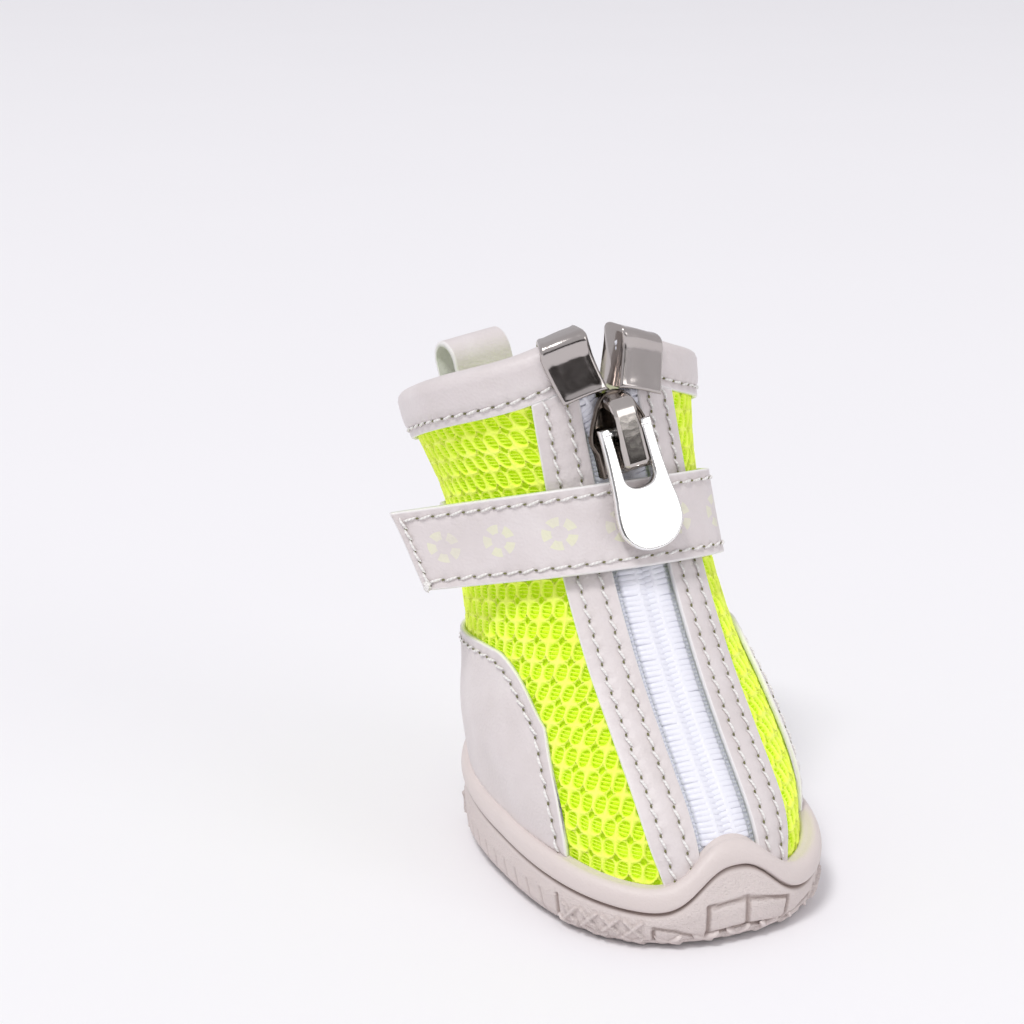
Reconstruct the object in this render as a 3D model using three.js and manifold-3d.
// Small dog boot: rubber cup sole, hollow mesh upper with a heel counter, front zip between two
// facings, bound collar with metal end clips, pull loop and ankle strap.
// Millimetres. +Z is up, the toe points to -Y, and the sole rests on Z = 0 about the origin.
// u is the angle round the foot (0 at the toe, +90 degrees at +X) and v runs from the sole to the collar.
import * as THREE from 'three';
import { mergeVertices } from 'three/addons/utils/BufferGeometryUtils.js';
import Module from 'manifold-3d';

const wasm = await Module();
wasm.setup();

const GAP = 0.3;                 // clearance kept between neighbouring pieces
const LEATHER = 0.8;             // thickness of the coated leather overlays
const UPPER_WALL = 1.5;          // knitted spacer mesh
const CLIP_SHEET = 0.6;          // folded nickel sheet

// Cup sole
const SOLE_HALF_WIDTH = 22.3;
const SOLE_HALF_LENGTH = 31;
const SOLE_SQUARENESS = 2.5;
const LIP_LOW = 5.3;             // groove under the lip, lowest beside the toe
const LIP_HEEL_RISE = 5.9;       // how much higher the groove runs at the heel
const LIP_TOE_PEAK = 5.9;        // bumper over the toe
const LIP_TOE_WIDTH = 0.24;      // in radians of u
const LIP_HEIGHT = 3.3;
const FOOTBED = 3.2;
const FIELD = 1;                 // underside between the lugs
const ARCH = 0.25;               // the waist's side lugs stay this much off the ground
const TOE_SPRING = 0.8;
const TOE_LEAN = 1.9;            // the bumper leans back over the toe
const TOE_SPRING_START = 20;
const LUG_INSET = 2.4;
const LUG_GROOVE = 0.9;
const LUG_WAVE = 0.7;
const INSOLE_INSET = 4.6;
const INSOLE_THICK = 1.5;

// Upper, one row for each section from the sole to the collar
const SECTIONS = [
  { frontY: -28.6, frontZ: 3.5, backY: 28.4, backZ: 3.5, halfWidth: 19.9, lean: 0, square: 2.4 },
  { frontY: -27.3, frontZ: 10.5, backY: 28.6, backZ: 9.5, halfWidth: 19.9, lean: 0, square: 2.4 },
  { frontY: -24.2, frontZ: 16.2, backY: 28.8, backZ: 14.5, halfWidth: 20.6, lean: 0, square: 2.35 },
  { frontY: -15.8, frontZ: 24.6, backY: 30.0, backZ: 20.0, halfWidth: 20.4, lean: 0, square: 2.3 },
  { frontY: -8.3, frontZ: 33.0, backY: 31.6, backZ: 26.5, halfWidth: 18.9, lean: -0.1, square: 2.2 },
  { frontY: -0.8, frontZ: 44.3, backY: 33.6, backZ: 35.0, halfWidth: 18.1, lean: -0.4, square: 2.15 },
  { frontY: 3.3, frontZ: 57.2, backY: 36.6, backZ: 46.5, halfWidth: 18.2, lean: -1.4, square: 2.15 },
  { frontY: 4.5, frontZ: 69.0, backY: 39.6, backZ: 56.5, halfWidth: 20.0, lean: -3.4, square: 2.2 },
  { frontY: 4.7, frontZ: 76.6, backY: 41.0, backZ: 63.0, halfWidth: 20.6, lean: -4.3, square: 2.2 },
];
const COLLAR_DROP = 4;           // the collar rises to its two ends beside the zip
const COLLAR_RISE_REACH = 9;

// Zip and facings, measured sideways from the zip's middle
const SLOT_HALF = 4;
const TAPE_SPLIT = 0.15;
const COIL_HALF = 2.7;
const COIL_HEIGHT = 1.1;
const COIL_EMERGES = 0.02;       // share of v over which the coil rises out of the cup
const TAPE_THICK = 0.6;
const FACING_INNER = 4.3;
const FACING_OUTER = 10.5;
const FACING_TOE_TAPER = 1.5;    // the facings narrow by this towards the toe
const SPLIT_AT_COLLAR = 2.4;     // half gap between the tapes above the slider

// Collar binding, clips and pull loop
const BINDING_DEPTH = 5.6;
const CLIP_INNER = 0.8;          // at its lower corner
const CLIP_OUTER = 7;
const CLIP_SLANT = 1.8;          // the clips open upwards in a V
const CLIP_DEPTH = 6.4;
const LOOP_WIDTH = 9.8;
const LOOP_RISE = 10.2;
const LOOP_LEG = 6;
const LOOP_SHIFT = -3;
const LOOP_SAG = 0.9;            // a flat leg stands off the hollow inside of the collar

// Ankle strap
const STRAP_WIDTH = 13;
const STRAP_THICK = 1;
const STRAP_LIFT = 2.4;          // over the facings
const STRAP_SIDE_LIFT = 0.3;     // where it lies on the knitted upper
const STRAP_FRONT_Z = 50.6;      // height of its middle over the zip
const STRAP_SEWN_U = -118;       // degrees
const STRAP_FACING_EDGE = 38;    // the strap comes down off the facing between these angles
const STRAP_SIDE_FROM = 62;
const STRAP_LEAVES_U = -54;
const STRAP_TAIL_TOP = 16.5;
const STRAP_TAIL_BOTTOM = 13.5;
const STRAP_TAIL_CURL = 5;       // degrees

// Slider and pull tab, in the slider's own frame: x across, y up the zip, z out of it
const SLIDER_DOWN = 12.9;        // from the collar's end to the slider's middle
const SLIDER_HALF_LENGTH = 6;
const SLIDER_PLATE = 0.9;
const SLIDER_TOP = 1.5;
const SLIDER_UNDER = -2.7;
const CROWN_WIDTH = 3.8;
const PIVOT_Y = 0.6;
const PIVOT_Z = 4;
const PIN_RADIUS = 0.7;
const PULL_THICK = 1.3;
const PULL_REST = 12;            // degrees that the tab stands off the zip where it lies on the strap

const rad = THREE.MathUtils.degToRad;
const signedPower = (value, power) => Math.sign(value) * Math.abs(value) ** power;

// ---------- the last: one smooth surface through the sections ----------

function sectionAt(v) {
  const last = SECTIONS.length - 1;
  const place = Math.min(Math.max(v, 0), 1) * last;
  const i = Math.min(Math.floor(place), last - 1);
  const t = place - i;
  const row = (k) => SECTIONS[Math.min(Math.max(k, 0), last)];
  const result = {};
  for (const key of Object.keys(SECTIONS[0])) {
    const [a, b, c, d] = [row(i - 1)[key], row(i)[key], row(i + 1)[key], row(i + 2)[key]];
    result[key] = b + 0.5 * t * (c - a + t * (2 * a - 5 * b + 4 * c - d + t * (3 * (b - c) + d - a)));
  }
  return result;
}

function lastSurface(u, v) {
  const s = sectionAt(v);
  const side = signedPower(Math.sin(u), 2 / s.square);
  const ahead = signedPower(Math.cos(u), 2 / s.square);
  return new THREE.Vector3(
    s.lean + s.halfWidth * side,
    (s.frontY + s.backY) / 2 + ahead * (s.frontY - s.backY) / 2,
    (s.frontZ + s.backZ) / 2 + ahead * (s.frontZ - s.backZ) / 2,
  );
}

function surfaceNormal(u, v) {
  const step = 0.004;
  const low = Math.max(v - step, 0);
  const high = Math.min(v + step, 1);
  const around = lastSurface(u + step, v).sub(lastSurface(u - step, v));
  const along = lastSurface(u, high).sub(lastSurface(u, low));
  return around.cross(along).normalize();
}

const onUpper = (u, v, lift) => lastSurface(u, v).addScaledVector(surfaceNormal(u, v), lift);

// angle at which a section is x millimetres to the side of its middle
function angleAt(x, v) {
  const s = sectionAt(v);
  return Math.sign(x) * Math.asin(Math.min(Math.abs(x) / s.halfWidth, 1) ** (s.square / 2));
}

function solveV(test) {
  let low = 0;
  let high = 1;
  for (let i = 0; i < 30; i += 1) {
    const middle = (low + high) / 2;
    if (test(middle)) low = middle;
    else high = middle;
  }
  return (low + high) / 2;
}

const heightV = (u, z) => solveV((v) => lastSurface(u, v).z < z);

// v that lies a distance down the surface from the collar's edge
function belowCollar(u, distance) {
  const step = 0.002;
  let v = collarV(u);
  let run = 0;
  let from = lastSurface(u, v);
  while (run < distance) {
    v -= step;
    const to = lastSurface(u, v);
    run += to.distanceTo(from);
    from = to;
  }
  return v;
}

function collarV(u) {
  const beside = Math.abs(lastSurface(u, 1).x - sectionAt(1).lean);
  const front = Math.cos(u) > 0 ? Math.exp(-((beside / COLLAR_RISE_REACH) ** 2)) : 0;
  const perMillimetre = 1 / lastSurface(0, 1).distanceTo(lastSurface(0, 1 - 1 / (SECTIONS.length - 1)));
  return 1 - COLLAR_DROP * (1 - front) * perMillimetre / (SECTIONS.length - 1);
}

// ---------- closed bodies from loops of points ----------

function signedVolume(points, faces) {
  let sum = 0;
  for (const [a, b, c] of faces) sum += points[a].dot(points[b].clone().cross(points[c]));
  return sum;
}

function bodyFrom(points, faces) {
  const flip = signedVolume(points, faces) < 0;
  const geometry = new THREE.BufferGeometry();
  geometry.setAttribute('position', new THREE.Float32BufferAttribute(points.flatMap((p) => [p.x, p.y, p.z]), 3));
  geometry.setIndex(faces.flatMap(([a, b, c]) => (flip ? [a, c, b] : [a, b, c])));
  return geometry;
}

// Joins each loop to the next one, and closes both ends. Point k of a loop faces point (count - 1 - k).
function loft(loops) {
  const count = loops[0].length;
  const faces = [];
  const quad = (a, b, c, d) => faces.push([a, b, c], [a, c, d]);
  for (let i = 0; i + 1 < loops.length; i += 1) {
    for (let k = 0; k < count; k += 1) {
      const next = (k + 1) % count;
      quad(i * count + k, i * count + next, (i + 1) * count + next, (i + 1) * count + k);
    }
  }
  const end = (loops.length - 1) * count;
  for (let k = 0; k + 1 < count / 2; k += 1) {
    quad(count - 1 - k, count - 2 - k, k + 1, k);
    quad(end + k, end + k + 1, end + count - 2 - k, end + count - 1 - k);
  }
  return bodyFrom(loops.flat(), faces);
}

function merged(geometry) {
  const bare = geometry.clone();
  bare.deleteAttribute('normal');
  bare.deleteAttribute('uv');
  return mergeVertices(bare, 1e-4);
}

function solidOf(geometry) {
  const closed = merged(geometry);
  return new wasm.Manifold(new wasm.Mesh({
    numProp: 3,
    vertProperties: new Float32Array(closed.attributes.position.array),
    triVerts: new Uint32Array(closed.index.array),
  }));
}

function geometryOf(solid) {
  const mesh = solid.getMesh();
  const geometry = new THREE.BufferGeometry();
  geometry.setAttribute('position', new THREE.BufferAttribute(mesh.vertProperties, 3));
  geometry.setIndex(new THREE.BufferAttribute(mesh.triVerts, 1));
  return geometry;
}

const joined = (geometries) => geometryOf(geometries.map(solidOf).reduce((a, b) => a.add(b)));

const spread = (from, to, count) => Array.from({ length: count }, (_, i) => from + (to - from) * i / (count - 1));

// ---------- finishes ----------

const finish = (color, roughness, metalness) => new THREE.MeshStandardMaterial({ color, roughness, metalness });
const RUBBER = finish(0xcdc2bf, 0.75, 0);
const MESH = finish(0xc4ff14, 0.85, 0);
const GREY_LEATHER = finish(0xcfc8c9, 0.5, 0);
const WHITE_TAPE = finish(0xf2f3fa, 0.7, 0);
const NICKEL = finish(0x8f8a84, 0.2, 1);
const BRIGHT_NICKEL = finish(0xe8e6e2, 0.15, 1);
const FELT = finish(0xb9b3b4, 0.9, 0);

const boot = new THREE.Group();

function add(name, geometry, material, parent = boot) {
  const mesh = new THREE.Mesh(geometry, material);
  mesh.name = name;
  parent.add(mesh);
  return mesh;
}

// ---------- cup sole ----------

function lipHeight(u) {
  const turn = Math.atan2(Math.sin(u), Math.cos(u));
  const toe = LIP_TOE_PEAK * Math.exp(-((turn / LIP_TOE_WIDTH) ** 2));
  return LIP_LOW + toe + LIP_HEEL_RISE * (1 - Math.cos(u)) / 2;
}

// how far the toe bumper leans back at a height
function toeLean(u, z) {
  const turn = Math.atan2(Math.sin(u), Math.cos(u));
  const climb = Math.max(0, z - LIP_LOW) / (LIP_TOE_PEAK + LIP_HEIGHT);
  return TOE_LEAN * climb * Math.exp(-((turn / LIP_TOE_WIDTH / 2) ** 2));
}

function springAt(y) {
  const past = Math.max(0, -y - TOE_SPRING_START) / (SOLE_HALF_LENGTH - TOE_SPRING_START);
  return TOE_SPRING * past * past;
}

// inset from the outline, height, and the share of the lip's wave that the row follows
const SOLE_ROWS = [
  { inset: 2.9, height: FIELD, wave: 0 },
  { inset: 1.6, height: 1.1, wave: 0 },
  { inset: 0.8, height: 1.9, wave: 0.05 },
  { inset: 0.45, height: 1.1, wave: 0.5 },
  { inset: 0.5, height: -0.4, wave: 1 },
  { inset: 1.0, height: 0, wave: 1 },
  { inset: 0.15, height: 0.4, wave: 1 },
  { inset: 0, height: 1.5, wave: 1 },
  { inset: 0.25, height: 2.7, wave: 1 },
  { inset: 0.9, height: LIP_HEIGHT, wave: 1 },
  { inset: 1.5, height: 3.1, wave: 1 },
  { inset: 1.9, height: 2.4, wave: 1 },
  { inset: 1.9, height: FOOTBED, wave: 0 },
];

function soleRing(inset, heightAt, count) {
  return Array.from({ length: count }, (_, i) => {
    const u = 2 * Math.PI * (i + 0.5) / count;
    const x = (SOLE_HALF_WIDTH - inset) * signedPower(Math.sin(u), 2 / SOLE_SQUARENESS);
    const y = -(SOLE_HALF_LENGTH - inset) * signedPower(Math.cos(u), 2 / SOLE_SQUARENESS);
    const z = heightAt(u, y);
    return new THREE.Vector3(x, y + toeLean(u, z), z);
  });
}

const cupSole = () => loft(SOLE_ROWS.map(({ inset, height, wave }) => soleRing(
  inset,
  (u, y) => height + wave * lipHeight(u) + (1 - wave) * (height < FOOTBED ? springAt(y) : 0),
  68,
)));

// the tread fields: bands between wavy grooves, in three zones along the sole
const TREAD_ZONES = [
  { from: -28.6, to: -13.5, bands: 5, raised: 0 },
  { from: -13.5, to: 12.5, bands: 5, raised: ARCH },
  { from: 12.5, to: 28.6, bands: 4, raised: 0 },
];

function outlineHalfWidth(y, inset) {
  const along = Math.min(Math.abs(y) / (SOLE_HALF_LENGTH - inset), 1);
  return (SOLE_HALF_WIDTH - inset) * (1 - along ** SOLE_SQUARENESS) ** (1 / SOLE_SQUARENESS);
}

function lug(zone, band) {
  const from = Math.max(zone.from + LUG_GROOVE / 2, LUG_INSET + 0.8 - SOLE_HALF_LENGTH);
  const to = Math.min(zone.to - LUG_GROOVE / 2, SOLE_HALF_LENGTH - LUG_INSET - 0.8);
  const edge = (y, k) => {
    const inside = k > 0 && k < zone.bands;
    const wave = inside ? LUG_WAVE * Math.sin(y / 3) : 0;
    return (2 * k / zone.bands - 1) * outlineHalfWidth(y, LUG_INSET) + wave;
  };
  return loft(spread(from, to, 7).map((y) => {
    const left = edge(y, band) + (band > 0 ? LUG_GROOVE / 2 : 0);
    const right = edge(y, band + 1) - (band + 1 < zone.bands ? LUG_GROOVE / 2 : 0);
    const middle = 2 * band + 1 === zone.bands;
    const bottom = (middle ? 0 : zone.raised) + springAt(y);
    const top = FIELD + 0.35 + springAt(y);
    return [[left, bottom], [right, bottom], [right, top], [left, top]]
      .map(([x, z]) => new THREE.Vector3(x, y, z));
  }));
}

function outsole() {
  const parts = [cupSole()];
  for (const zone of TREAD_ZONES) {
    for (let band = 0; band < zone.bands; band += 1) parts.push(lug(zone, band));
  }
  return joined(parts);
}

const insole = () => loft([FOOTBED + GAP, FOOTBED + GAP + INSOLE_THICK]
  .map((z) => soleRing(INSOLE_INSET, () => z, 48)));

// ---------- upper ----------

// The wall's section at angle fraction a, from the slot's right edge round the heel to its left edge
function wallLoop(a, rows) {
  const angle = (v) => {
    const edge = angleAt(SLOT_HALF, v);
    return edge + (2 * Math.PI - 2 * edge) * a;
  };
  const outer = [];
  const inner = [];
  for (const share of spread(0, 1, rows)) {
    const v = share * collarV(angle(share));
    outer.push(onUpper(angle(v), v, 0));
    inner.unshift(onUpper(angle(v), v, -UPPER_WALL));
  }
  return [...outer, ...inner];
}

const upper = () => loft(spread(0, 1, 53).map((a) => wallLoop(a, 15)));

// An overlay on the upper: columns of (u, v) points, raised between two lifts
function overlay(columns, inner, outer) {
  return loft(columns.map((column) => [
    ...column.map(([u, v]) => onUpper(u, v, outer)),
    ...column.map(([u, v]) => onUpper(u, v, inner)).reverse(),
  ]));
}

const LIP_CLEAR = 0.5;
const aboveLip = (u) => heightV(u, lipHeight(u) + LIP_HEIGHT + LIP_CLEAR);

// Top edge of the counter above the lip, by the share of the way from the heel to its front edge
const COUNTER_EDGE = [
  { share: 0, height: 15 },
  { share: 0.3, height: 16 },
  { share: 0.55, height: 18.2 },
  { share: 0.75, height: 20.6 },
  { share: 0.87, height: 21.4 },
  { share: 0.95, height: 18.6 },
  { share: 1, height: 13.8 },
];
const COUNTER_REACH = 120;       // degrees from the heel to the front edge, at the lip
const COUNTER_BULGE = 5;         // how much further forward the edge is at its corner

function counterHeight(share) {
  const i = Math.max(1, COUNTER_EDGE.findIndex((row) => row.share >= share));
  const [a, b] = [COUNTER_EDGE[i - 1], COUNTER_EDGE[i]];
  return a.height + (b.height - a.height) * (share - a.share) / (b.share - a.share);
}

function heelCounter() {
  const corner = COUNTER_EDGE.at(-1).height;
  return overlay(spread(-1, 1, 37).map((share) => {
    const tall = counterHeight(Math.abs(share));
    return spread(0, tall, 4).map((height) => {
      const u = rad(180 + share * (COUNTER_REACH + COUNTER_BULGE * Math.min(height / corner, 1)));
      return [u, heightV(u, lipHeight(u) + LIP_HEIGHT + LIP_CLEAR + height)];
    });
  }), GAP, GAP + LEATHER);
}

function facing(side) {
  const low = aboveLip(angleAt(side * (FACING_INNER + FACING_OUTER) / 2, 0.15));
  return loft(spread(0, 1, 26).map((share) => {
    const outer = FACING_OUTER - FACING_TOE_TAPER * Math.max(0, 1 - share * 4) ** 2;
    const across = spread(FACING_INNER, outer, 4).map((x) => {
      const top = belowCollar(angleAt(side * x, 0.9), BINDING_DEPTH + GAP);
      const bottom = Math.max(low, aboveLip(angleAt(side * x, 0.15)));
      const v = bottom + (top - bottom) * share;
      return [angleAt(side * x, v), v];
    });
    return [
      ...across.map(([u, v]) => onUpper(u, v, GAP + LEATHER)),
      ...across.map(([u, v]) => onUpper(u, v, GAP)).reverse(),
    ];
  }));
}

// ---------- zip ----------

const sliderV = belowCollar(0, SLIDER_DOWN);

function zipTape(side) {
  const low = heightV(0, FOOTBED + 1);
  const lip = aboveLip(0);
  const high = collarV(0);
  const split = (v) => {
    const open = Math.min(Math.max((v - sliderV) / (high - sliderV), 0), 1);
    return TAPE_SPLIT + (SPLIT_AT_COLLAR - TAPE_SPLIT) * Math.min(open * 3, 1);
  };
  return loft(spread(low, high, 32).map((v) => {
    const edge = split(v);
    const at = (x, lift) => onUpper(angleAt(side * x, v), v, lift);
    const fold = Math.min(edge + COIL_HALF - TAPE_SPLIT, SLOT_HALF - GAP - 0.4);
    const coil = COIL_HEIGHT * Math.min(Math.max((v - lip) / COIL_EMERGES, 0), 1);
    return [
      at(edge, coil * 0.8),
      at((edge + fold) / 2, coil),
      at(fold, 0),
      at(SLOT_HALF - GAP, 0),
      at(SLOT_HALF - GAP, -TAPE_THICK),
      at(fold, -TAPE_THICK),
      at((edge + fold) / 2, -TAPE_THICK),
      at(edge, -TAPE_THICK),
    ];
  }));
}

// ---------- collar ----------

// A sheet folded over the collar's edge, from the outside over the top to the inside. Its faces lie
// at two lifts off the upper, and its angle at a height is angleAtShare(0) at the hem, (1) at the top.
function foldLoop(angleAtShare, depth, close, far) {
  const u = angleAtShare(1);
  const hem = angleAtShare(0);
  const top = collarV(u);
  const low = belowCollar(hem, depth);
  const rise = far - close;
  const up = lastSurface(u, top).sub(lastSurface(u, top - 0.02)).normalize();
  const raised = (lift, height) => onUpper(u, top, lift).addScaledVector(up, height);
  const inside = (lift) => -UPPER_WALL - lift;
  return [
    onUpper(hem, low, far),
    raised(far, close - 0.1),
    raised((far + close) / 2, rise + close + 0.1),
    raised(inside((far + close) / 2), rise + close + 0.1),
    raised(inside(far), close - 0.1),
    onUpper(hem, low, inside(far)),
    onUpper(hem, low, inside(close)),
    raised(inside(close), close),
    raised(inside(close) + 0.05, close + 0.02),
    raised(close - 0.05, close + 0.02),
    raised(close, close),
    onUpper(hem, low, close),
  ];
}

// angles from the right end round the heel to the left end, closer together near the zip
function collarAngles(x, count) {
  const edge = angleAt(x, 1);
  return spread(-1, 1, count).map((a) => Math.PI + (Math.PI - edge) * Math.sin(a * Math.PI / 2.4)
    / Math.sin(Math.PI / 2.4));
}

const collarBinding = () => loft(collarAngles(SLOT_HALF + GAP, 44)
  .map((u) => foldLoop(() => u, BINDING_DEPTH, GAP, GAP + LEATHER)));

const clip = (side) => loft(spread(CLIP_INNER, CLIP_OUTER, 6)
  .map((x) => foldLoop(
    (share) => angleAt(side * (x + CLIP_SLANT * share), 1),
    CLIP_DEPTH,
    2 * GAP + LEATHER,
    2 * GAP + LEATHER + CLIP_SHEET,
  )));

function pullLoop() {
  const u = Math.PI - angleAt(LOOP_SHIFT, 1);
  const top = collarV(u);
  const origin = lastSurface(u, top);
  const up = origin.clone().sub(lastSurface(u, top - 0.05)).normalize();
  const out = surfaceNormal(u, top);
  const across = out.clone().cross(up);
  const outside = 2 * GAP + LEATHER;
  const inside = -UPPER_WALL - outside - LOOP_SAG;
  const middle = (outside + inside) / 2;
  const reach = (outside - inside) / 2;
  const path = [];
  for (const height of spread(-LOOP_LEG, LOOP_RISE - reach - LEATHER, 4)) path.push([outside, height, 1]);
  for (const turn of spread(20, 160, 6)) {
    path.push([middle + reach * Math.cos(rad(turn)), LOOP_RISE - reach - LEATHER + reach * Math.sin(rad(turn)), 0, turn]);
  }
  for (const height of spread(LOOP_RISE - reach - LEATHER, -LOOP_LEG, 4)) path.push([inside, height, -1]);
  const place = (x, outward, height) => origin.clone().addScaledVector(across, x)
    .addScaledVector(out, outward).addScaledVector(up, height);
  return loft(path.map(([outward, height, leg, turn]) => {
    const push = leg === 0 ? [Math.cos(rad(turn)) * LEATHER, Math.sin(rad(turn)) * LEATHER] : [leg * LEATHER, 0];
    return [
      place(-LOOP_WIDTH / 2, outward, height),
      place(LOOP_WIDTH / 2, outward, height),
      place(LOOP_WIDTH / 2, outward + push[0], height + push[1]),
      place(-LOOP_WIDTH / 2, outward + push[0], height + push[1]),
    ];
  }));
}

// ---------- ankle strap ----------

const strapV = heightV(0, STRAP_FRONT_Z);

const strapHalfV = 0.05 * STRAP_WIDTH / lastSurface(0, strapV + 0.05).distanceTo(lastSurface(0, strapV - 0.05));

const strapLoop = (u, lift) => [
  onUpper(u, strapV - strapHalfV, lift),
  onUpper(u, strapV + strapHalfV, lift),
  onUpper(u, strapV + strapHalfV, lift + STRAP_THICK),
  onUpper(u, strapV - strapHalfV, lift + STRAP_THICK),
];

function strap() {
  const turns = spread(STRAP_SEWN_U, STRAP_LEAVES_U - 360, 49);
  const loops = turns.map((degrees) => {
    const past = THREE.MathUtils.smoothstep(degrees + 360, STRAP_FACING_EDGE, STRAP_SIDE_FROM);
    return strapLoop(rad(degrees), STRAP_LIFT + (STRAP_SIDE_LIFT - STRAP_LIFT) * past);
  });
  const last = loops.at(-1);
  const before = loops.at(-2);
  const heading = last.map((point, k) => point.clone().sub(before[k]).normalize());
  const length = [STRAP_TAIL_BOTTOM, STRAP_TAIL_TOP, STRAP_TAIL_TOP, STRAP_TAIL_BOTTOM];
  const upward = last[1].clone().sub(last[0]).normalize();
  for (const share of spread(0.2, 1, 5)) {
    loops.push(last.map((point, k) => point.clone().addScaledVector(
      heading[k].clone().applyAxisAngle(upward, rad(STRAP_TAIL_CURL) * share),
      length[k] * share,
    )));
  }
  return loft(loops);
}

// ---------- slider and pull tab ----------

function plate(outline, low, high, bevel = 0) {
  const geometry = new THREE.ExtrudeGeometry(outline, {
    depth: high - low - 2 * bevel,
    bevelEnabled: bevel > 0,
    bevelThickness: bevel,
    bevelSize: bevel,
    bevelOffset: -bevel,
    bevelSegments: 1,
    curveSegments: 6,
  });
  return geometry.translate(0, 0, low + bevel);
}

function sliderOutline(scale) {
  const shape = new THREE.Shape();
  const top = SLIDER_HALF_LENGTH;
  shape.moveTo(0, top);
  shape.quadraticCurveTo(2.3 * scale, top, 3.4 * scale, 3);
  shape.quadraticCurveTo(4.6 * scale, 0.8, 4.55 * scale, -0.8);
  shape.lineTo(3.9 * scale, -2.4);
  shape.lineTo(3.7 * scale, -top);
  shape.lineTo(-3.7 * scale, -top);
  shape.lineTo(-3.9 * scale, -2.4);
  shape.lineTo(-4.55 * scale, -0.8);
  shape.quadraticCurveTo(-4.6 * scale, 0.8, -3.4 * scale, 3);
  shape.quadraticCurveTo(-2.3 * scale, top, 0, top);
  return shape;
}

function block(width, length, height, x, y, z) {
  return new THREE.BoxGeometry(width, length, height).translate(x, y, z);
}

function sliderBody() {
  const neckLow = SLIDER_UNDER + 0.2;
  const neckHigh = SLIDER_TOP + 0.3;
  return joined([
    plate(sliderOutline(1), SLIDER_TOP, SLIDER_TOP + SLIDER_PLATE, 0.25),
    plate(sliderOutline(0.8), SLIDER_UNDER - SLIDER_PLATE, SLIDER_UNDER),
    block(1.2, 2, neckHigh - neckLow + 0.6, 0, SLIDER_HALF_LENGTH - 1.6, (neckLow + neckHigh) / 2),
  ]);
}

// The cap over the body that the tab's pin turns under
function sliderCrown() {
  const base = SLIDER_TOP + SLIDER_PLATE + GAP;
  const roof = PIVOT_Z + PIN_RADIUS + GAP;
  const side = new THREE.Shape();
  side.moveTo(5.6, base);
  side.lineTo(5.2, roof - 0.4);
  side.quadraticCurveTo(4.6, roof + 0.9, 3, roof + 1.1);
  side.lineTo(-3.6, roof + 0.8);
  side.quadraticCurveTo(-5.4, roof + 0.4, -5.5, base);
  side.lineTo(-4, base);
  side.quadraticCurveTo(-3.8, roof, -2.6, roof);
  side.lineTo(2.2, roof);
  side.quadraticCurveTo(3.3, roof, 3.6, base);
  const bar = new THREE.ExtrudeGeometry(side, {
    depth: CROWN_WIDTH, bevelEnabled: false, curveSegments: 4,
  });
  // the outline's x runs up the zip and its y runs outwards
  return bar.applyMatrix4(new THREE.Matrix4().makeBasis(
    new THREE.Vector3(0, 1, 0),
    new THREE.Vector3(0, 0, 1),
    new THREE.Vector3(1, 0, 0),
  )).translate(-CROWN_WIDTH / 2, 0, 0);
}

function pullOutline() {
  const shape = new THREE.Shape();
  shape.moveTo(-4, 0.8);
  shape.lineTo(-4, -1.6);
  shape.quadraticCurveTo(-4.1, -5.5, -4.5, -9.2);
  shape.quadraticCurveTo(-5.3, -13.2, -4.4, -14.8);
  shape.quadraticCurveTo(-3, -17.2, 0, -17.2);
  shape.quadraticCurveTo(3, -17.2, 4.4, -14.8);
  shape.quadraticCurveTo(5.3, -13.2, 4.5, -9.2);
  shape.quadraticCurveTo(4.1, -5.5, 4, -1.6);
  shape.lineTo(4, 0.8);
  shape.lineTo(2.3, 0.8);
  shape.lineTo(2.3, -6.4);
  shape.quadraticCurveTo(2.2, -8.2, 0, -8.2);
  shape.quadraticCurveTo(-2.2, -8.2, -2.3, -6.4);
  shape.lineTo(-2.3, 0.8);
  return shape;
}

function pullTab() {
  const pin = new THREE.CylinderGeometry(PIN_RADIUS, PIN_RADIUS, 7, 12).rotateZ(Math.PI / 2);
  return joined([plate(pullOutline(), -PULL_THICK / 2, PULL_THICK / 2, 0.25), pin]);
}

// ---------- the boot ----------

add('outsole', outsole(), RUBBER);
add('insole', insole(), FELT);
add('upper', upper(), MESH);
add('heel_counter', heelCounter(), GREY_LEATHER);
for (const [name, side] of [['left', -1], ['right', 1]]) {
  add(`zip_facing_${name}`, facing(side), GREY_LEATHER);
  add(`zip_tape_${name}`, zipTape(side), WHITE_TAPE);
  add(`clip_${name}`, clip(side), NICKEL);
}
add('collar_binding', collarBinding(), GREY_LEATHER);
add('pull_loop', pullLoop(), GREY_LEATHER);
add('strap', strap(), GREY_LEATHER);

const slider = new THREE.Group();
const sliderUp = lastSurface(0, sliderV + 0.03).sub(lastSurface(0, sliderV - 0.03)).normalize();
const sliderOut = surfaceNormal(0, sliderV);
const sliderSide = sliderUp.clone().cross(sliderOut);
slider.position.copy(lastSurface(0, sliderV));
slider.quaternion.setFromRotationMatrix(new THREE.Matrix4().makeBasis(sliderSide, sliderUp, sliderOut));
boot.add(slider);
add('zip_slider', sliderBody(), NICKEL, slider);
add('zip_slider_crown', sliderCrown(), NICKEL, slider);

const pull = new THREE.Group();
pull.position.set(0, PIVOT_Y, PIVOT_Z);
pull.rotation.x = -rad(PULL_REST);
slider.add(pull);
add('zip_pull', pullTab(), BRIGHT_NICKEL, pull);

export default boot;
